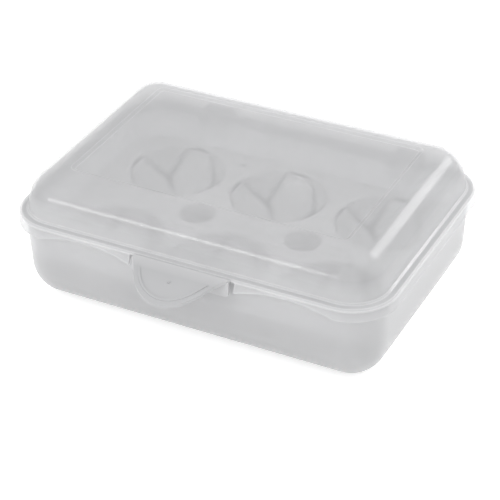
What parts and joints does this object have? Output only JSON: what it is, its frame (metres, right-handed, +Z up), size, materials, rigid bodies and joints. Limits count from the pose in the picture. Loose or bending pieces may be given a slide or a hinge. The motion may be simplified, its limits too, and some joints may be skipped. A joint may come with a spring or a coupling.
{
  "type": "egg storage box",
  "caption": "Clear plastic egg box: shallow tub, domed lid with rear snap hinge, front latch flap and a loose tray of round egg cups.",
  "frame": {"origin": "centre of the flat base, midway along the length and width of the tub", "axes": "+X along the long side, +Y from the latch towards the rear hinge, +Z up"},
  "size_m": [0.2, 0.1714, 0.0685],
  "materials": {
    "tub_plastic": "frosted translucent",
    "lid_plastic": "frosted translucent",
    "tray_plastic": "frosted translucent"
  },
  "bodies": {
    "tub": {"tub": "tub_plastic", "egg_tray": "tray_plastic"},
    "lid": {"lid": "lid_plastic"},
    "latch": {"latch": "lid_plastic"}
  },
  "joints": [
    {"name": "lid_hinge", "type": "hinge", "parent": "tub", "child": "lid", "pos_m": [0, 0.0745, 0.0435], "axis": [-1, 0, 0], "range_deg": [0, 105]},
    {"name": "latch_hinge", "type": "hinge", "parent": "lid", "child": "latch", "pos_m": [0, -0.06955, 0.0474], "axis": [-1, 0, 0], "range_deg": [0, 100]}
  ]
}
